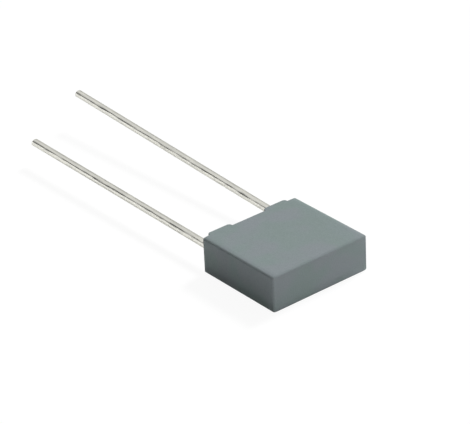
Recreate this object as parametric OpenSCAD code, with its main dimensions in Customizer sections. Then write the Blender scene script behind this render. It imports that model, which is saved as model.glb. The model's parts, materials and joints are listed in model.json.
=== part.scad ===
// Box film capacitor: a moulded box with two wire leads, lying on one broad face.
//
// X runs across the two leads, +Y is the way the leads point and +Z is up. The origin is the
// centre of the broad face that the box lies on. All lengths are in millimetres.
//
// The box is a thin-walled cup. Its closed end is at -Y and its rim, with four stand-off feet,
// is at +Y. A flattened roll of metallised film lies inside, with sprayed metal on both ends
// and a lead welded to each, and cast resin fills the rest of the cup.

/* [Housing] */
// Width, across the two leads
housing_w = 10; // [9:0.1:12]
// Height from the closed end to the rim, without the feet
housing_h = 8.8; // [7:0.1:12]
// Thickness between the two broad faces
housing_t = 3.35; // [2.8:0.05:5]
// Wall thickness of the two narrow sides at the rim
side_wall = 0.45; // [0.3:0.05:0.5]
// Wall thickness of the two broad sides at the rim
broad_wall = 0.45; // [0.3:0.05:0.6]
// Thickness of the closed end
end_wall = 0.5; // [0.3:0.05:1]
// Radius on the outer edges
edge_r = 0.2; // [0.1:0.01:0.28]
// Radius on the four inner corners
core_r = 0.25; // [0.1:0.05:0.4]
// Chamfer round the inner floor
core_chamfer = 0.25; // [0.1:0.05:0.3]
// Draft of the inner walls, in degrees, so that the core pulls out of the mould
core_draft = 0.5; // [0:0.1:1]

/* [Feet] */
// How far a foot stands up from the rim
foot_h = 0.35; // [0.2:0.05:0.8]
// Length of a foot along the rim
foot_w = 2.4; // [1.2:0.05:3]
// Distance from the left narrow side to the feet nearest to it
foot_inset_left = 0.7; // [0.4:0.05:1]
// Distance from the right narrow side to the feet nearest to it
foot_inset_right = 0.95; // [0.4:0.05:1]
// Radius on the two end corners of a foot
foot_r = 0.3; // [0.05:0.05:0.3]

/* [Resin] */
// Depth of the resin's surface below the rim
fill_recess = 0.5; // [0.35:0.05:1]
// Radius of the hollow where the resin climbs the walls
meniscus_r = 0.25; // [0.1:0.05:0.3]
// Radius of the small collar where the resin climbs a lead
collar_r = 0.2; // [0.1:0.05:0.3]
// Thickness left at the thin edges of the hollow and of the collars
feather = 0.04; // [0.03:0.01:0.08]

/* [Roll] */
// Resin between the roll and each broad wall, at the closed end
roll_side_gap = 0.15; // [0.1:0.05:0.4]
// Resin between the roll and the closed end
roll_end_gap = 0.35; // [0.2:0.05:1]
// Resin over the roll, below the surface of the resin
roll_cover = 0.9; // [0.5:0.05:1.5]
// Width of the slit left where the core was pressed flat
core_slit = 0.08; // [0.05:0.01:0.15]
// Thickness of the sprayed metal on each end of the roll
spray_t = 0.35; // [0.2:0.05:0.5]

/* [Leads] */
// Distance between the two leads
lead_pitch = 7.5; // [7:0.1:7.7]
// Diameter of the wire
lead_d = 0.7; // [0.5:0.05:0.8]
// How far the weld sinks the wire into the sprayed metal
weld_sink = 0.1; // [0.05:0.01:0.15]
// Distance from the closed end of the roll to the inner end of the wire
weld_start = 1.2; // [0.5:0.1:2]
// Straight run of the wire past the feet, before its bend
bend_start = 0.3; // [0.1:0.1:1.5]
// Radius of the bend, on the middle of the wire
bend_r = 0.6; // [0.4:0.1:0.8]
// Angle of the short lead above the broad faces, in degrees
short_tilt = 0.8; // [0.6:0.1:5]
// Angle of the long lead above the broad faces, in degrees
long_tilt = 2.8; // [0.6:0.1:5]
// Straight free length of the short lead, past its bend
short_run = 25.3; // [5:0.1:40]
// Straight free length of the long lead, past its bend
long_run = 28.9; // [5:0.1:40]
// Slant of the cut ends, in degrees
cut_slant = 14; // [0:1:30]

/* [Hidden] */
$fn = 64;

// Overrun of a cutter past what it cuts
past = 1;
closed_y = -housing_h / 2;
rim_y = housing_h / 2;
mid_z = housing_t / 2;
// The core's own size at the rim, and its depth from there
core_w = housing_w - 2 * side_wall;
core_t = housing_t - 2 * broad_wall;
core_h = housing_h - end_wall;
seat_y = rim_y + foot_h;
// Left edges of the feet along the rim
foot_x = [foot_inset_left - housing_w / 2, housing_w / 2 - foot_inset_right - foot_w];
fill_y = rim_y - fill_recess;
// The roll, between the two sprayed ends
spray_face = lead_pitch / 2 - lead_d / 2 + weld_sink;
roll_w = 2 * (spray_face - spray_t);
roll_t = core_t - 2 * core_h * tan(core_draft) - 2 * roll_side_gap;
roll_y = closed_y + end_wall + roll_end_gap;
roll_h = fill_y - roll_cover - roll_y;
bend_y = seat_y + bend_start;

// Cup outline: a rectangle with its floor on the x axis and two round corners there
module cup_outline(w, h, r) {
    translate([-w / 2, 0]) {
        translate([0, r]) square([w, h - r]);
        translate([r, 0]) square([w - 2 * r, h]);
        for (x = [r, w - r])
            translate([x, r]) circle(r);
    }
}

// Rectangle with four round corners, centred on the origin
module round_outline(w, h, r) {
    translate([-w / 2, -h / 2]) {
        translate([0, r]) square([w, h - 2 * r]);
        translate([r, 0]) square([w - 2 * r, h]);
        for (x = [r, w - r], y = [r, h - r])
            translate([x, y]) circle(r);
    }
}

// Cup-shaped block with its floor at y = 0 and its open end at +Y. Three outlines cross: the
// view from above, from the side and from the open end, so that each edge gets its radius.
module cup_block(w, h, t, r) {
    intersection() {
        translate([0, 0, -t / 2 - past]) linear_extrude(t + 2 * past) cup_outline(w, h, r);
        rotate([0, -90, 0]) translate([0, 0, -w / 2 - past])
            linear_extrude(w + 2 * past) cup_outline(t, h, r);
        translate([0, h, 0]) rotate([90, 0, 0]) linear_extrude(h + past) round_outline(w, t, r);
    }
}

// Core outline: its floor lies on the x axis between two chamfers, and its sides lean out by
// the draft until they are w apart at the height h. They run on past it by over.
module core_outline(w, h, over) {
    lean = tan(core_draft);
    floor_x = w / 2 - h * lean;
    corner_x = floor_x + core_chamfer * lean;
    top_x = w / 2 + over * lean;
    polygon([
        [core_chamfer - floor_x, 0], [floor_x - core_chamfer, 0], [corner_x, core_chamfer],
        [top_x, h + over], [-top_x, h + over], [-corner_x, core_chamfer]
    ]);
}

// The space inside the walls, open through the rim and past the feet
module cavity() {
    over = foot_h + past;
    widening = 2 * over * tan(core_draft);
    translate([0, closed_y + end_wall, mid_z]) intersection() {
        translate([0, 0, -housing_t / 2]) linear_extrude(housing_t) core_outline(core_w, core_h, over);
        rotate([0, -90, 0]) translate([0, 0, -housing_w / 2])
            linear_extrude(housing_w) core_outline(core_t, core_h, over);
        translate([0, core_h + over, 0]) rotate([90, 0, 0]) linear_extrude(core_h + over + past)
            round_outline(core_w + widening, core_t + widening, core_r);
    }
}

// One stand-off foot: a flat tab with round end corners, rooted in the wall below the rim. It
// is the cup outline turned over, with its floor as the foot's end.
module foot() {
    root = foot_h;
    translate([foot_w / 2, seat_y, 0]) linear_extrude(broad_wall)
        mirror([0, 1]) cup_outline(foot_w, foot_h + root, foot_r);
}

module housing() {
    color([0.53, 0.57, 0.57]) difference() {
        union() {
            translate([0, closed_y, mid_z]) cup_block(housing_w, housing_h, housing_t, edge_r);
            for (x = foot_x, z = [0, housing_t - broad_wall])
                translate([x, 0, z]) foot();
        }
        cavity();
    }
}

// Flat-sided oval section of the roll, carried along x over a width w
module roll_section(w) {
    r = roll_t / 2;
    translate([-w / 2, 0, mid_z]) rotate([90, 0, 90]) linear_extrude(w) {
        translate([roll_y + r, -r]) square([roll_h - roll_t, roll_t]);
        for (y = [roll_y + r, roll_y + roll_h - r])
            translate([y, 0]) circle(r);
    }
}

// The resin's free surface: a hollow that curves up to the walls, with collars left standing
module resin_hollow() {
    hollow_w = core_w - 2 * fill_recess * tan(core_draft) - 2 * feather;
    hollow_t = core_t - 2 * fill_recess * tan(core_draft) - 2 * feather;
    difference() {
        translate([0, fill_y, mid_z])
            cup_block(hollow_w, fill_recess + past, hollow_t, meniscus_r);
        for (x = [-1, 1] * lead_pitch / 2)
            translate([x, fill_y, mid_z]) rotate([-90, 0, 0]) rotate_extrude() difference() {
                square([lead_d / 2 + feather + collar_r, feather + collar_r]);
                translate([lead_d / 2 + feather + collar_r, feather + collar_r]) circle(collar_r);
            }
    }
}

module potting() {
    color([0.34, 0.36, 0.36]) difference() {
        intersection() {
            cavity();
            translate([-housing_w / 2, closed_y, 0])
                cube([housing_w, fill_y + meniscus_r - closed_y, housing_t]);
        }
        resin_hollow();
        roll_section(2 * spray_face);
        for (side = [-1, 1]) lead_root(side);
    }
}

module winding() {
    color([0.8, 0.79, 0.74]) difference() {
        roll_section(roll_w);
        translate([-roll_w / 2 - past, roll_y + roll_t / 2, mid_z - core_slit / 2])
            cube([roll_w + 2 * past, roll_h - roll_t, core_slit]);
    }
}

// Sprayed metal on one end of the roll, with the groove of the welded lead
module end_spray(side) {
    color([0.6, 0.6, 0.61]) difference() {
        intersection() {
            roll_section(2 * spray_face);
            translate([side * (spray_face - spray_t / 2) - spray_t / 2, closed_y, 0])
                cube([spray_t, housing_h, housing_t]);
        }
        lead_root(side);
    }
}

module end_spray_left() end_spray(-1);

module end_spray_right() end_spray(1);

// The straight root of a wire, from its weld out past the feet to its bend
module lead_root(side) {
    start_y = roll_y + weld_start;
    translate([side * lead_pitch / 2, start_y, mid_z]) rotate([-90, 0, 0])
        cylinder(d = lead_d, h = bend_y - start_y);
}

// A whole wire: its root, its bend and its free run
module lead_wire(side, tilt, run) {
    lead_root(side);
    translate([side * lead_pitch / 2, bend_y, mid_z + bend_r]) {
        rotate([0, 90, 0]) rotate_extrude(angle = tilt) translate([bend_r, 0]) circle(d = lead_d);
        rotate([tilt, 0, 0]) translate([0, 0, -bend_r]) free_run(run);
    }
}

// Straight free length along +Y from the origin, cut off on a slant
module free_run(run) {
    slack = lead_d / 2 * tan(cut_slant);
    difference() {
        rotate([-90, 0, 0]) cylinder(d = lead_d, h = run + slack);
        translate([0, run, 0]) rotate([cut_slant, 0, 0])
            translate([-lead_d, 0, -lead_d]) cube([2 * lead_d, 2 * lead_d, 2 * lead_d]);
    }
}

module lead_short() {
    color([0.78, 0.77, 0.73]) lead_wire(-1, short_tilt, short_run);
}

module lead_long() {
    color([0.78, 0.77, 0.73]) lead_wire(1, long_tilt, long_run);
}

housing();
potting();
winding();
end_spray_left();
end_spray_right();
lead_short();
lead_long();
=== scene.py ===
"""Box film capacitor: moulded housing, cast resin, film roll and tinned leads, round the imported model."""

import json
import math

import bmesh
import bpy
import numpy as np
from mathutils import Matrix, Vector


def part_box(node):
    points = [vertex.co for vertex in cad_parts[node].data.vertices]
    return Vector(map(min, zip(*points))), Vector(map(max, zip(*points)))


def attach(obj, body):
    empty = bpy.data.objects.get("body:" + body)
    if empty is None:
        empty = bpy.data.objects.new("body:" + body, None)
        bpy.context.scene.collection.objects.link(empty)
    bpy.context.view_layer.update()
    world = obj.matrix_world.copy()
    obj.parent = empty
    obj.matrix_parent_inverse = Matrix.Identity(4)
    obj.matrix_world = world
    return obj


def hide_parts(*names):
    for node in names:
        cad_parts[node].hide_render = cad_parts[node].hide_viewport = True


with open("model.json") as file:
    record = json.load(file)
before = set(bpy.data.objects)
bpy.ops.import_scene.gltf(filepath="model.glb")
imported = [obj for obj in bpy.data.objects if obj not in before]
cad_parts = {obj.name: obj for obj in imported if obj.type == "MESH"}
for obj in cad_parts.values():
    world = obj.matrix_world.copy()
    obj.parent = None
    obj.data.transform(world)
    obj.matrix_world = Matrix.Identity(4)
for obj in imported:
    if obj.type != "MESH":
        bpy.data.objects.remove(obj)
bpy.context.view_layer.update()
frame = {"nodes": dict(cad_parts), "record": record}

MM = 0.001
MOUNTS = {mount["name"]: mount for mount in frame["record"]["mounts"]}

# Housing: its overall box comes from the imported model, and these are its feet, edges, walls and core
FOOT_HEIGHT = 0.35 * MM
FOOT_WIDTH = 2.4 * MM
FOOT_INSETS = (0.7 * MM, 0.95 * MM)  # from the left and the right narrow side
FOOT_CORNER = 0.3 * MM
FOOT_ROOT = 0.04 * MM  # radius of the hollow round where a foot leaves the rim
FOOT_LEAN = 0.005 * MM  # how far a foot's side leans in
EDGE_RADIUS = 0.2 * MM
RIM_RADIUS = 0.04 * MM
WALL = 0.45 * MM
END_WALL = 0.5 * MM
CORE_RADIUS = 0.25 * MM
CORE_CHAMFER = 0.25 * MM
CORE_DRAFT = math.radians(0.5)
FLOOR_CORNER = 0.1 * CORE_RADIUS

# What cooling and wear leave on the housing: hollow walls, a fall beside the narrow sides, and pale edges,
# partly wear and partly a painted highlight
WALL_SINK = 0.02 * MM
EASE_DEPTH = 0.07 * MM
EASE_WIDTH = 0.55 * MM
# Width over which the edges turn pale: partly wear, partly a painted highlight along the edges
PALE_EDGE_WIDTH = 0.15 * MM

# Where the rings of the housing's skin stand, each as a share of its own stretch
END_SCALES = (0.25, 0.6, 0.93, 0.985)
WALL_RISES = (0.004, 0.08, 0.18, 0.3, 0.42, 0.54, 0.66, 0.78, 0.88, 0.95, 0.99, 1.0)
RIM_SHARES = (0.06, 0.5, 0.94)
CORE_DROPS = (0.02, 0.06, 0.12, 0.25, 0.45, 0.65, 0.85, 1.0)
FLOOR_SCALES = (0.98, 0.6, 0.2)

# Up the walls the rings turn from the loop's own steps to those of the feet's outline, and down the core
# they turn back. All but LAST_STRETCH is a share of the way up or down
FOLLOW_FROM = 0.5
FOLLOW_OVER = 0.45
FOLLOW_DOWN_TO = 0.5
LAST_STRETCH = 0.01 * MM  # end of a broad side, where a narrower ring makes up its difference

# Points along each stretch of the loop round the housing
CORNER_POINTS = 9  # also the rings on the closed end's round edge
NARROW_POINTS = 9
ROOT_POINTS = 5
FOOT_TOP_POINTS = 8
LEVEL_POINTS = (5, 18, 6)  # left of the feet, between them and right of them
RIM_ROUNDS = 6  # rings on each round of the rim

# Leads
BEND_RADIUS = 0.6 * MM
CUT_SLANT = math.radians(14)
CUT_EDGE = 0.07 * MM
WELD_EDGE = 0.3 * CUT_EDGE  # how much the end in the weld is drawn in
BEND_RINGS = 6
RUN_RINGS = 30
CUT_RINGS = 7

# Camera: the direction it looks from, its lens, and how far its aim point stands off the origin
AZIMUTH = math.radians(-37.93)
ELEVATION = math.radians(28.99)
ROLL = math.radians(-2.83)
CAMERA_DISTANCE = 184.605 * MM
SENSOR = 36.0
LENS = 172.6
AIM_RIGHT = -4.176 * MM
AIM_UP = 4.886 * MM

FLOOR_HALF = 1.5  # metres from the middle of the studio's floor to its sides


def smoothstep(t):
    """3t^2 - 2t^3, with t held between 0 and 1."""
    t = np.clip(t, 0, 1)
    return t * t * (3 - 2 * t)


def arc(start, end, count):
    """Angles in radians, evenly spaced from start to end in degrees, both included."""
    return np.radians(np.linspace(start, end, count))


def columns(*parts):
    """Arrays and plain numbers side by side along a new last axis."""
    return np.stack(np.broadcast_arrays(*parts), -1)


def add_piece(name, points, attributes):
    """Closes a grid of rings (rings, points round, 3) into a solid and adds it to the scene.

    Neighbouring rings are joined by four-sided faces, the first and last ring are closed by a fan
    round their mean point, and points that fall together are merged."""
    rings, around = points.shape[:2]
    ring_number, step = np.meshgrid(np.arange(rings - 1), np.arange(around), indexing="ij")
    here = ring_number * around + step
    beside = ring_number * around + (step + 1) % around
    quads = columns(here, beside, beside + around, here + around).reshape(-1, 4)
    edge = np.arange(around)
    after = (edge + 1) % around
    first, last = rings * around, rings * around + 1
    base = (rings - 1) * around
    start = columns(first, after, edge)
    end = columns(last, base + edge, base + after)
    corners = np.concatenate([points.reshape(-1, 3), points[:1].mean(1), points[-1:].mean(1)])
    mesh = bpy.data.meshes.new(name)
    mesh.from_pydata(corners.tolist(), [], quads.tolist() + start.tolist() + end.tolist())
    for label, values in attributes.items():
        ends = [values[0].mean(), values[-1].mean()]
        layer = mesh.attributes.new(label, "FLOAT", "POINT")
        layer.data.foreach_set("value", np.append(values.ravel(), ends).astype(np.float32))
    body = bmesh.new()
    body.from_mesh(mesh)
    bmesh.ops.remove_doubles(body, verts=body.verts, dist=1e-8)
    bmesh.ops.recalc_face_normals(body, faces=body.faces)
    body.to_mesh(mesh)
    body.free()
    mesh.shade_smooth()
    piece = bpy.data.objects.new(name, mesh)
    bpy.context.scene.collection.objects.link(piece)
    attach(piece, "root")
    return piece


# Housing -----------------------------------------------------------------------------------

HOUSING_LOW, HOUSING_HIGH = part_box("housing")
HALF_W = (HOUSING_HIGH.x - HOUSING_LOW.x) / 2
HALF_T = (HOUSING_HIGH.z - HOUSING_LOW.z) / 2
MID_Z = (HOUSING_HIGH.z + HOUSING_LOW.z) / 2
CLOSED_Y = HOUSING_LOW.y
RIM_Y = HOUSING_HIGH.y - FOOT_HEIGHT
STRAIGHT = HALF_W - EDGE_RADIUS


def foot_outline(start):
    """Outline of one foot along the rim, as columns x, height, and the normal's x and height.

    A hollow quarter round leads out of the rim, the side leans in a little, and a quarter round
    of the corner radius turns it into the top; the right half is the left half mirrored."""
    turn = arc(0, 90, ROOT_POINTS)
    bend = arc(0, 90, CORNER_POINTS)
    root = columns(
        start - FOOT_ROOT + FOOT_ROOT * np.sin(turn),
        FOOT_ROOT - FOOT_ROOT * np.cos(turn),
        -np.sin(turn),
        np.cos(turn),
    )
    corner = columns(
        start + FOOT_LEAN + FOOT_CORNER - FOOT_CORNER * np.cos(bend),
        FOOT_HEIGHT - FOOT_CORNER + FOOT_CORNER * np.sin(bend),
        -np.cos(bend),
        np.sin(bend),
    )
    half = np.concatenate([root, corner])
    mirrored = half[::-1] * [-1, 1, -1, 1] + [2 * start + FOOT_WIDTH, 0, 0, 0]
    flat = np.linspace(half[-1, 0], mirrored[0, 0], FOOT_TOP_POINTS)[1:-1]
    return np.concatenate([half, columns(flat, FOOT_HEIGHT, 0, 1), mirrored])


def level_rim(start, end, count):
    """A level stretch of the rim, in the same columns as a foot."""
    return columns(np.linspace(start, end, count), 0, 0, 1)


def rim_outline():
    """Outline of the rim on a broad side from left to right, with its two feet and what lies between."""
    left = foot_outline(-HALF_W + FOOT_INSETS[0])
    right = foot_outline(HALF_W - FOOT_INSETS[1] - FOOT_WIDTH)
    return np.concatenate([
        level_rim(-STRAIGHT, left[0, 0], LEVEL_POINTS[0])[:-1], left,
        level_rim(left[-1, 0], right[0, 0], LEVEL_POINTS[1])[1:-1], right,
        level_rim(right[-1, 0], STRAIGHT, LEVEL_POINTS[2])[1:],
    ])


def round_loop(count):
    """Columns of the loop round the box, seen from the open end, with count points on each broad side.

    Each column holds its side (1 upper broad, -1 lower broad, 0 elsewhere), the share of the
    straight half length that it stands at along x and z, and its outward direction in x and z.
    On the broad sides the share is the sine of evenly spaced angles, closest at the narrow sides."""
    share = np.sin(np.linspace(-0.5, 0.5, count) * math.pi)
    turn = arc(0, 90, CORNER_POINTS)[1:-1]
    half = np.concatenate([
        columns(1, share, 1, 0, 1),
        columns(0, 1, 1, np.sin(turn), np.cos(turn)),
        columns(0, 1, np.linspace(1, -1, NARROW_POINTS), 1, 0),
        columns(0, 1, -1, np.cos(turn), -np.sin(turn)),
    ])
    return np.concatenate([half, -half])


OUTLINE = rim_outline()
SIDE, SHARE_X, SHARE_Z, OUT_X, OUT_Z = round_loop(len(OUTLINE)).T


def on_loop(column, rest):
    """Spreads one column of the outline over both broad sides of the loop, with rest elsewhere."""
    values = np.full(len(SIDE), float(rest))
    values[SIDE > 0] = column
    values[SIDE < 0] = column[::-1]
    return values


OUTLINE_X, OUTLINE_Y, NORMAL_X, NORMAL_Y = map(on_loop, OUTLINE.T, (0, 0, 0, 1))


def top_y(setback):
    """Height of the rim and feet round the loop, for a line that runs setback inside their outline."""
    return RIM_Y + OUTLINE_Y - setback * NORMAL_Y


def ring(inset, corner, y, follow=0.0, setback=0.0, scale=1.0):
    """One ring round the box at height y: its rectangle drawn in by inset, scaled, with round corners.

    On the broad sides the points move from the loop's own steps (follow 0) to the steps of the
    feet's outline (follow 1). A narrower ring takes up the difference in its last stretch only."""
    half_w = (HALF_W - inset) * scale
    half_t = (HALF_T - inset) * scale
    run = half_w - corner
    own = SHARE_X * run
    steps = OUTLINE_X - setback * NORMAL_X
    keep = run - LAST_STRETCH
    beyond = np.abs(steps) - keep
    squeezed = np.sign(steps) * (keep + beyond * LAST_STRETCH / (STRAIGHT - keep))
    outline = np.where(beyond > 0, squeezed, steps)
    x = np.where(SIDE != 0, own + (outline - own) * smoothstep(follow), own + corner * OUT_X)
    z = SHARE_Z * (half_t - corner) + corner * OUT_Z
    return columns(x, y, MID_Z + z)


def outer_rings():
    """The closed end and the outer walls: scaled loops on the end's flat, a quarter round of the edge
    radius, and walls that run straight up to the round of the rim and feet."""
    rings = [ring(EDGE_RADIUS, 0, CLOSED_Y, scale=scale) for scale in END_SCALES]
    for turn in arc(0, 90, CORNER_POINTS):
        inset = EDGE_RADIUS * (1 - math.sin(turn))
        rings.append(ring(inset, EDGE_RADIUS - inset, CLOSED_Y + EDGE_RADIUS * (1 - math.cos(turn))))
    base = CLOSED_Y + EDGE_RADIUS
    top = top_y(RIM_RADIUS)
    for rise in WALL_RISES:
        follow = (rise - FOLLOW_FROM) / FOLLOW_OVER
        rings.append(ring(0, EDGE_RADIUS, base + (top - base) * rise, follow, RIM_RADIUS))
    return rings


def rim_rings():
    """The rim and the ends of the feet: a quarter round on the outer edge, the flat, on which the corners
    change from the edge radius to the core radius, and a quarter round on the inner edge."""
    rings = []
    for turn in arc(0, 90, RIM_ROUNDS)[1:]:
        inset = RIM_RADIUS * (1 - math.cos(turn))
        setback = RIM_RADIUS * (1 - math.sin(turn))
        rings.append(ring(inset, EDGE_RADIUS - inset, top_y(setback), 1, setback))
    for share in RIM_SHARES:
        inset = RIM_RADIUS + (WALL - 2 * RIM_RADIUS) * share
        rings.append(ring(inset, EDGE_RADIUS + (CORE_RADIUS - EDGE_RADIUS) * share, top_y(0), 1))
    for turn in arc(90, 180, RIM_ROUNDS):
        inset = WALL - RIM_RADIUS * (1 + math.cos(turn))
        setback = RIM_RADIUS * (1 - math.sin(turn))
        rings.append(ring(inset, CORE_RADIUS, top_y(setback), 1, setback))
    return rings


def core_rings():
    """The hollow core from the rim down: drafted walls, a chamfer, and scaled loops on the flat floor."""
    rings = []
    floor = CLOSED_Y + END_WALL
    base = floor + CORE_CHAMFER
    top = top_y(RIM_RADIUS)
    for drop in CORE_DROPS:
        y = top + (base - top) * drop
        inset = WALL + (RIM_Y - y.min()) * math.tan(CORE_DRAFT)
        rings.append(ring(inset, CORE_RADIUS, y, 1 - drop / FOLLOW_DOWN_TO, RIM_RADIUS))
    inset = WALL + CORE_CHAMFER + (RIM_Y - floor) * math.tan(CORE_DRAFT)
    rings.append(ring(inset, FLOOR_CORNER, floor))
    return rings + [ring(inset, 0, floor, scale=scale) for scale in FLOOR_SCALES]


def soften(points):
    """Draws the broad walls in as cooling plastic does. Each is hollow by WALL_SINK * (1 - x^2)(1 - y^2),
    with x and y from -1 to 1 across it, and falls off by EASE_DEPTH * u^2 over the last
    EASE_WIDTH before a narrow side, u being 0 where that starts and 1 at the side. The hollow is on
    the outer face alone, and the fall fades out over EDGE_RADIUS under it."""
    x, y, z = points[..., 0], points[..., 1], points[..., 2] - MID_Z
    middle = (CLOSED_Y + RIM_Y) / 2
    across = np.clip(1 - (x / HALF_W) ** 2, 0, 1)
    upwards = np.clip(1 - ((y - middle) / (RIM_Y - middle)) ** 2, 0, 1)
    outer = np.clip((np.abs(z) - HALF_T) / EDGE_RADIUS + 1, 0, 1)
    on_face = outer > 1 - 1e-4
    ease = np.clip((np.abs(x) - HALF_W) / EASE_WIDTH + 1, 0, 1) ** 2
    points[..., 2] -= np.sign(z) * (WALL_SINK * across * upwards * on_face + EASE_DEPTH * ease * outer)
    return points


def edge_nearness(points):
    """1 on an outer edge of the box, fading to 0 on the flats: the second smallest of the
    distances to the three pairs of faces, put through a falling exponential."""
    distances = np.sort(np.stack([
        HALF_W - np.abs(points[..., 0]),
        np.minimum(points[..., 1] - CLOSED_Y, np.abs(RIM_Y - points[..., 1])),
        HALF_T - np.abs(points[..., 2] - MID_Z),
    ]), 0)
    return np.exp(-np.clip(distances[1] / PALE_EDGE_WIDTH, 0, 30))


def make_housing():
    """The housing as one closed skin, from the middle of the closed end out, up, over the rim and down."""
    points = soften(np.array(outer_rings() + rim_rings() + core_rings()))
    piece = add_piece("housing_moulding", points, {"edge": edge_nearness(points)})
    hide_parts("housing")
    piece.data.materials.append(moulded_plastic())


# Leads -------------------------------------------------------------------------------------

WIRE_ROUND = np.radians(np.arange(0, 360, 7.5))


def make_lead(node):
    """A wire along its path: straight out of the weld, round a short bend and along the free run.

    Each ring is a circle across the path. The far end is cut on a slant: the last rings move back
    by the slant's tangent times their height, the one before them by half of that, and they shrink
    along a quarter round to the cut face."""
    mount = MOUNTS[node + "_pin"]
    radius = mount["dims"]["r_mm"] * MM
    run = mount["dims"]["length_mm"] * MM
    axis = Vector(mount["axis"])
    root = Vector(mount["pos_m"])
    rise = math.atan2(axis.z, axis.y)
    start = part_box(node)[0].y
    bend_y = root.y - BEND_RADIUS * math.sin(rise)

    straight = np.array([start, start + CUT_EDGE, RIM_Y, bend_y])
    bend = np.linspace(0, rise, BEND_RINGS)[1:-1]
    edge = arc(0, 90, CUT_RINGS)
    along = np.concatenate([
        np.linspace(0, run - 2 * CUT_EDGE, RUN_RINGS),
        run - CUT_EDGE + CUT_EDGE * np.sin(edge),
    ])
    path = np.concatenate([
        columns(straight, MID_Z, 0),
        columns(bend_y + BEND_RADIUS * np.sin(bend), MID_Z + BEND_RADIUS * (1 - np.cos(bend)), bend),
        columns(root.y + along * math.cos(rise), root.z + along * math.sin(rise), rise),
    ])
    centre_y, centre_z, turn = path.T[:, :, None]

    radii = np.full(len(path), radius)
    radii[0] -= WELD_EDGE
    radii[-len(edge):] = radius - CUT_EDGE * (1 - np.cos(edge))
    slant = np.zeros(len(path))
    slant[-len(edge):] = math.tan(CUT_SLANT)
    slant[-len(edge) - 1] = math.tan(CUT_SLANT) / 2
    across = radii[:, None] * np.cos(WIRE_ROUND)
    height = radii[:, None] * np.sin(WIRE_ROUND)
    back = slant[:, None] * height
    points = columns(
        root.x + across,
        centre_y - back * np.cos(turn) - height * np.sin(turn),
        centre_z - back * np.sin(turn) + height * np.cos(turn),
    )

    # How far each ring shows the raw cut: the face itself, and fading over its edge
    cut = np.zeros(points.shape[:2])
    cut[-2:] = 1
    cut[-3] = 0.6
    piece = add_piece(node + "_wire", points, {"cut": cut})
    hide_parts(node)
    piece.data.materials.append(tinned_wire())


# Finishes ----------------------------------------------------------------------------------

def start_material(name):
    """An empty material with its output, a principled shader and Object coordinates."""
    material = bpy.data.materials.new(name)
    material.use_nodes = True
    tree = material.node_tree
    tree.nodes.clear()
    output = tree.nodes.new("ShaderNodeOutputMaterial")
    shader = tree.nodes.new("ShaderNodeBsdfPrincipled")
    tree.links.new(shader.outputs["BSDF"], output.inputs["Surface"])
    place = tree.nodes.new("ShaderNodeTexCoord").outputs["Object"]
    return material, tree, shader, place


def coat(tree, shader, colour, roughness, metallic=0.0):
    """Gives a shader its colour, its roughness and its share of bare metal."""
    tree.links.new(colour, shader.inputs["Base Color"])
    tree.links.new(roughness, shader.inputs["Roughness"])
    shader.inputs["Metallic"].default_value = metallic


def stretched(tree, place, scale):
    """Object coordinates multiplied along each axis."""
    mapping = tree.nodes.new("ShaderNodeMapping")
    mapping.inputs["Scale"].default_value = scale
    tree.links.new(place, mapping.inputs["Vector"])
    return mapping.outputs["Vector"]


def noise(tree, place, size, detail, roughness):
    """Noise whose blotches are about size across."""
    node = tree.nodes.new("ShaderNodeTexNoise")
    node.inputs["Scale"].default_value = 1 / size
    node.inputs["Detail"].default_value = detail
    node.inputs["Roughness"].default_value = roughness
    tree.links.new(place, node.inputs["Vector"])
    return node.outputs["Fac"]


def spread(tree, value, low_out, high_out, low_in=0.3, high_in=0.7, soft=False):
    """A value moved from one range to another, in a straight line or with soft ends."""
    node = tree.nodes.new("ShaderNodeMapRange")
    if soft:
        node.interpolation_type = "SMOOTHSTEP"
    node.inputs["From Min"].default_value = low_in
    node.inputs["From Max"].default_value = high_in
    node.inputs["To Min"].default_value = low_out
    node.inputs["To Max"].default_value = high_out
    tree.links.new(value, node.inputs["Value"])
    return node.outputs["Result"]


def product(tree, first, second):
    """Two values multiplied."""
    node = tree.nodes.new("ShaderNodeMath")
    node.operation = "MULTIPLY"
    tree.links.new(first, node.inputs[0])
    tree.links.new(second, node.inputs[1])
    return node.outputs[0]


def two_colours(tree, share, first, second):
    """A colour between two, by a share from 0 to 1. Each is a colour or another node's output."""
    node = tree.nodes.new("ShaderNodeMix")
    node.data_type = "RGBA"
    tree.links.new(share, node.inputs["Factor"])
    for socket, colour in ((node.inputs[6], first), (node.inputs[7], second)):
        if isinstance(colour, tuple):
            socket.default_value = (*colour, 1)
        else:
            tree.links.new(colour, socket)
    return node.outputs[2]


def relief(tree, shader, layers):
    """Bump from several heights, each a value, a depth and a strength, one over the other."""
    normal = None
    for height, depth, strength in layers:
        node = tree.nodes.new("ShaderNodeBump")
        node.inputs["Distance"].default_value = depth
        node.inputs["Strength"].default_value = strength
        tree.links.new(height, node.inputs["Height"])
        if normal:
            tree.links.new(normal, node.inputs["Normal"])
        normal = node.outputs["Normal"]
    tree.links.new(normal, shader.inputs["Normal"])


def attribute(tree, name):
    """A value stored on the mesh's points."""
    node = tree.nodes.new("ShaderNodeAttribute")
    node.attribute_name = name
    return node.outputs["Fac"]


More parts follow.
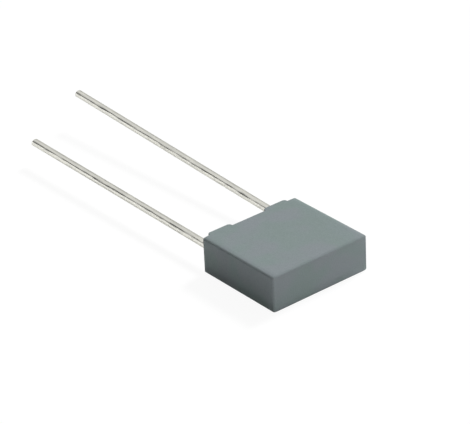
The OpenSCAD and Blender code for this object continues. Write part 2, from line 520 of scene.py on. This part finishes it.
def moulded_plastic():
    """Matt filled plastic: a spark-eroded grain with pale flecks and dark pits, flow clouds between a
    greener and a bluer grey, and paler edges, partly wear and partly a painted highlight."""
    material, tree, shader, place = start_material("moulded_plastic_finish")
    clouds = noise(tree, place, 2.2 * MM, 2, 0.5)
    tint = noise(tree, stretched(tree, place, (1, 1.4, 1.4)), 3.1 * MM, 1, 0.4)
    speck = noise(tree, place, 0.11 * MM, 3, 0.6)
    grain = noise(tree, place, 0.09 * MM, 2, 0.55)
    waves = noise(tree, place, 0.7 * MM, 1, 0.4)
    flow = spread(tree, clouds, 0, 1, 0.35, 0.65)
    greener = two_colours(tree, flow, (0.203, 0.254, 0.246), (0.213, 0.26, 0.261))
    bluer = two_colours(tree, flow, (0.218, 0.25, 0.261), (0.227, 0.256, 0.271))
    body = two_colours(tree, spread(tree, tint, 0, 1, 0.38, 0.6, soft=True), greener, bluer)
    flecked = two_colours(tree, spread(tree, speck, 0, 0.3, 0.42, 0.75), body, (0.29, 0.33, 0.33))
    pitted = two_colours(tree, spread(tree, speck, 0.3, 0, 0.25, 0.42), flecked, (0.14, 0.17, 0.17))
    # Paler towards the edges: partly wear, partly a painted highlight along the rounded edges
    wear_and_highlight = spread(tree, attribute(tree, "edge"), 0, 0.3, 0.3, 1)
    colour = two_colours(tree, wear_and_highlight, pitted, (0.275, 0.32, 0.315))
    coat(tree, shader, colour, spread(tree, clouds, 0.5, 0.6))
    shader.inputs["Specular IOR Level"].default_value = 0.15
    relief(tree, shader, [(waves, 0.03 * MM, 0.5), (grain, 0.015 * MM, 0.8)])
    return material


def cast_resin():
    """Glossy filled resin: low ripples, pin holes left by bubbles and a dusty bloom."""
    material, tree, shader, place = start_material("cast_resin_finish")
    bloom = noise(tree, place, 0.5 * MM, 3, 0.6)
    ripples = noise(tree, place, 1.1 * MM, 1, 0.4)
    bubbles = tree.nodes.new("ShaderNodeTexVoronoi")
    bubbles.inputs["Scale"].default_value = 1 / (0.9 * MM)
    tree.links.new(place, bubbles.inputs["Vector"])
    holes = spread(tree, bubbles.outputs["Distance"], 0, 1, 0.03, 0.11)
    colour = two_colours(tree, spread(tree, bloom, 0, 1), (0.06, 0.075, 0.075), (0.1, 0.118, 0.116))
    coat(tree, shader, colour, spread(tree, bloom, 0.28, 0.42))
    relief(tree, shader, [(ripples, 0.05 * MM, 0.5), (holes, 0.03 * MM, 0.6)])
    return material


def tinned_wire():
    """Tin on a drawn wire: drawing lines along it that split its reflections, a wandering flatness,
    dull patches with a yellow bloom, and a darker raw cut."""
    material, tree, shader, place = start_material("tinned_wire_finish")
    lines = noise(tree, stretched(tree, place, (1, 0.012, 1)), 0.07 * MM, 2, 0.55)
    wander = noise(tree, stretched(tree, place, (1, 0.12, 1)), 0.35 * MM, 2, 0.5)
    patches = noise(tree, stretched(tree, place, (1, 0.4, 1)), 0.45 * MM, 3, 0.6)
    bloom = two_colours(tree, spread(tree, patches, 0, 1), (0.66, 0.655, 0.61), (0.78, 0.77, 0.705))
    tin = two_colours(tree, spread(tree, lines, 0.3, 0, 0.3, 0.5), bloom, (0.5, 0.5, 0.45))
    colour = two_colours(tree, attribute(tree, "cut"), tin, (0.38, 0.37, 0.33))
    coat(tree, shader, colour, spread(tree, patches, 0.12, 0.24), 1.0)
    shader.inputs["Specular Tint"].default_value = (0.5, 0.5, 0.48, 1)
    relief(tree, shader, [(wander, 0.12 * MM, 0.5), (lines, 0.02 * MM, 0.6), (patches, 0.02 * MM, 0.4)])
    return material


def metallised_film():
    """Wound film: the edges of many turns as fine lines round the oval, on a pale metallic sheet."""
    material, tree, shader, place = start_material("metallised_film_finish")
    turns = noise(tree, stretched(tree, place, (0.05, 1, 1)), 0.03 * MM, 2, 0.6)
    sheen = noise(tree, place, 0.8 * MM, 2, 0.5)
    colour = two_colours(tree, spread(tree, turns, 0, 1), (0.55, 0.53, 0.47), (0.66, 0.64, 0.57))
    coat(tree, shader, colour, spread(tree, sheen, 0.25, 0.4), 0.6)
    relief(tree, shader, [(turns, 0.004 * MM, 0.5)])
    return material


def sprayed_metal():
    """Metal sprayed on in droplets: a coarse grey grain with bright specks."""
    material, tree, shader, place = start_material("sprayed_metal_finish")
    droplets = noise(tree, place, 0.08 * MM, 4, 0.7)
    colour = two_colours(tree, spread(tree, droplets, 0, 1), (0.32, 0.32, 0.33), (0.52, 0.52, 0.53))
    coat(tree, shader, colour, spread(tree, droplets, 0.5, 0.7), 0.8)
    relief(tree, shader, [(droplets, 0.03 * MM, 0.8)])
    return material


def dress(node, material):
    """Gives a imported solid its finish."""
    for holder in frame["nodes"][node].material_slots:
        holder.material = material


# Studio ------------------------------------------------------------------------------------

def choose(tree, share, first, second):
    """A value that is first where share is 0 and second where it is 1, each a float or a node's output."""
    node = tree.nodes.new("ShaderNodeMix")
    tree.links.new(share, node.inputs["Factor"])
    for socket, value in ((node.inputs["A"], first), (node.inputs["B"], second)):
        if isinstance(value, float):
            socket.default_value = value
        else:
            tree.links.new(value, socket)
    return node.outputs["Result"]


def by_ray(tree, light, mirror, camera):
    """One value for the light that falls on things, one for mirrors and glass, one for the camera."""
    path = tree.nodes.new("ShaderNodeLightPath")
    shown = tree.nodes.new("ShaderNodeMath")
    shown.operation = "MAXIMUM"
    tree.links.new(path.outputs["Is Glossy Ray"], shown.inputs[0])
    tree.links.new(path.outputs["Is Transmission Ray"], shown.inputs[1])
    unseen = choose(tree, shown.outputs[0], light, mirror)
    return choose(tree, path.outputs["Is Camera Ray"], unseen, camera)


def make_floor():
    """A wide pale floor under the part. It throws light up as white card does, and the camera sees it
    white, with a faint trace of the part's shadow."""
    corners = [(x * FLOOR_HALF, y * FLOOR_HALF, 0) for x, y in ((-1, -1), (1, -1), (1, 1), (-1, 1))]
    mesh = bpy.data.meshes.new("floor")
    mesh.from_pydata(corners, [], [(0, 1, 2, 3)])
    floor = bpy.data.objects.new("floor", mesh)
    bpy.context.scene.collection.objects.link(floor)
    material = bpy.data.materials.new("floor_finish")
    material.use_nodes = True
    tree = material.node_tree
    tree.nodes.clear()
    output = tree.nodes.new("ShaderNodeOutputMaterial")
    card = by_ray(tree, light=0.85, mirror=0.8, camera=0.08)
    pale = tree.nodes.new("ShaderNodeBsdfDiffuse")
    tree.links.new(two_colours(tree, card, (0, 0, 0), (1, 1, 1)), pale.inputs["Color"])
    glow = tree.nodes.new("ShaderNodeEmission")
    glow.inputs["Color"].default_value = (1, 1, 1, 1)
    tree.links.new(by_ray(tree, light=0.0, mirror=0.3, camera=0.93), glow.inputs["Strength"])
    both = tree.nodes.new("ShaderNodeAddShader")
    tree.links.new(pale.outputs[0], both.inputs[0])
    tree.links.new(glow.outputs[0], both.inputs[1])
    tree.links.new(both.outputs[0], output.inputs["Surface"])
    mesh.materials.append(material)


def make_world():
    """White round the part for the camera, and for its lighting a sky that is dimmer on the left. For its
    reflections a bright room, brightest at the horizon, with low walls on both sides: a dark one on
    the left and a dim one on the right."""
    world = bpy.data.worlds.new("studio")
    bpy.context.scene.world = world
    world.use_nodes = True
    tree = world.node_tree
    tree.nodes.clear()
    output = tree.nodes.new("ShaderNodeOutputWorld")
    sky = tree.nodes.new("ShaderNodeBackground")
    sky.inputs["Color"].default_value = (1, 1, 1, 1)
    way = tree.nodes.new("ShaderNodeSeparateXYZ")
    tree.links.new(tree.nodes.new("ShaderNodeTexCoord").outputs["Generated"], way.inputs[0])
    rightwards, upwards = way.outputs["X"], way.outputs["Z"]
    wall_foot = spread(tree, upwards, 0, 1, 0.16, 0.36, soft=True)
    wall_top = spread(tree, upwards, 1, 0, 0.46, 0.68, soft=True)
    wall = product(tree, wall_foot, wall_top)
    left = product(tree, wall, spread(tree, rightwards, 1, 0, -0.5, -0.05, soft=True))
    right = product(tree, wall, spread(tree, rightwards, 0, 1, 0.3, 0.7, soft=True))
    bright = spread(tree, upwards, 1.25, 0.92, 0.05, 0.45, soft=True)
    room = choose(tree, right, choose(tree, left, bright, 0.1), 0.6)
    light = spread(tree, rightwards, 0.09, 0.38, -0.7, 0.1, soft=True)
    tree.links.new(by_ray(tree, light=light, mirror=room, camera=1.0), sky.inputs["Strength"])
    tree.links.new(sky.outputs[0], output.inputs["Surface"])


def make_lamp(name, kind, energy, towards, distance=0.0):
    """A lamp that stands off the part in the direction towards and shines back, unseen by mirrors."""
    lamp = bpy.data.lights.new(name, kind)
    lamp.energy = energy
    direction = Vector(towards).normalized()
    place = bpy.data.objects.new(name, lamp)
    place.location = direction * distance
    place.visible_glossy = False
    place.rotation_euler = direction.to_track_quat("Z", "Y").to_euler()
    bpy.context.scene.collection.objects.link(place)
    return lamp


def make_lamps():
    """A wide soft key high on the right and a little behind, and a small soft box near the part, low in
    front on the right."""
    key = make_lamp("key", "SUN", 3.16, (0.67, 0.11, 0.73))
    key.angle = math.radians(14)
    fill = make_lamp("fill", "AREA", 0.0037, (0.7, -0.7, 0.05), 36 * MM)
    fill.size = 20 * MM


def make_camera():
    """Camera on a line from the aim point, which stands off the part's origin along the camera's own
    right and up."""
    back = Vector((
        math.sin(AZIMUTH) * math.cos(ELEVATION),
        -math.cos(AZIMUTH) * math.cos(ELEVATION),
        math.sin(ELEVATION),
    ))
    level = Vector((math.cos(AZIMUTH), math.sin(AZIMUTH), 0))
    upright = back.cross(level)
    right = level * math.cos(ROLL) + upright * math.sin(ROLL)
    up = upright * math.cos(ROLL) - level * math.sin(ROLL)
    lens = bpy.data.cameras.new("camera")
    lens.sensor_fit = "HORIZONTAL"
    lens.sensor_width = SENSOR
    lens.lens = LENS
    lens.clip_start = 5 * MM
    camera = bpy.data.objects.new("camera", lens)
    stand = back * CAMERA_DISTANCE + right * AIM_RIGHT + up * AIM_UP
    turned = Matrix((right, up, back)).transposed().to_4x4()
    camera.matrix_world = Matrix.Translation(stand) @ turned
    bpy.context.scene.collection.objects.link(camera)
    bpy.context.scene.camera = camera


make_camera()
make_world()
make_lamps()
make_floor()
make_housing()
for node in ("lead_short", "lead_long"):
    make_lead(node)
dress("potting", cast_resin())
dress("winding", metallised_film())
for node in ("end_spray_left", "end_spray_right"):
    dress(node, sprayed_metal())

bpy.context.scene.view_settings.view_transform = "Standard"
bpy.context.view_layer.update()
